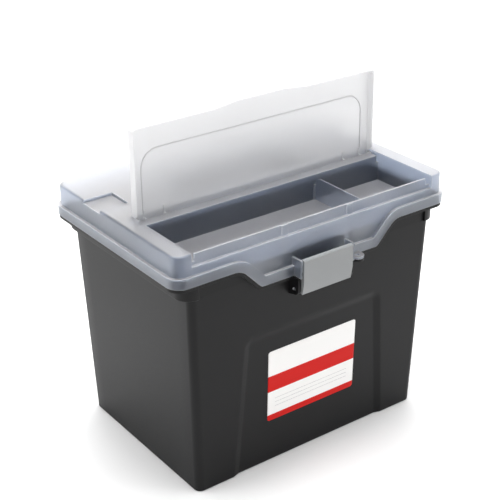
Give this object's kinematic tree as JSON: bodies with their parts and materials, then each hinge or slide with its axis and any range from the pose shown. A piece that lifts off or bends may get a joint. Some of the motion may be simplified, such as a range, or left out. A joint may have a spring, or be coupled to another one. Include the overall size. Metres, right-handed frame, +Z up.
{
  "type": "portable file box",
  "caption": "Lidded tub for hanging files with a covered tray in its translucent lid, a front latch and a fold-down handle.",
  "frame": {"origin": "centre of the base, on the surface that the box stands on", "axes": "+X along the length, to the right of someone facing the latch; the latch faces -Y; +Z is up"},
  "size_m": [0.36, 0.2647, 0.3884],
  "materials": {
    "tub_black": "satin",
    "frosted": "satin",
    "light_grey": "satin",
    "pin_steel": "satin",
    "label_paper": "matte"
  },
  "bodies": {
    "tub": {"tub": "tub_black", "latch_pin": "pin_steel", "hinge_pin_left": "pin_steel", "hinge_pin_right": "pin_steel", "label": "label_paper"},
    "lid": {"lid": "frosted", "tray_divider": "frosted"},
    "cover": {"tray_cover": "frosted"},
    "latch": {"latch": "light_grey"},
    "handle": {"carrying_handle": "light_grey"}
  },
  "joints": [
    {"name": "lid_hinge", "type": "hinge", "parent": "tub", "child": "lid", "pos_m": [0, 0.1262, 0.253], "axis": [-1, 0, 0], "range_deg": [0, 105]},
    {"name": "cover_hinge", "type": "hinge", "parent": "lid", "child": "cover", "pos_m": [0, -0.0154, 0.283], "axis": [1, 0, 0], "range_deg": [0, 90]},
    {"name": "latch_hinge", "type": "hinge", "parent": "tub", "child": "latch", "pos_m": [0, -0.12326, 0.2152], "axis": [1, 0, 0], "range_deg": [0, 110]},
    {"name": "handle_hinge", "type": "hinge", "parent": "lid", "child": "handle", "pos_m": [0, 0.0146, 0.282], "axis": [1, 0, 0], "range_deg": [0, 90]}
  ]
}
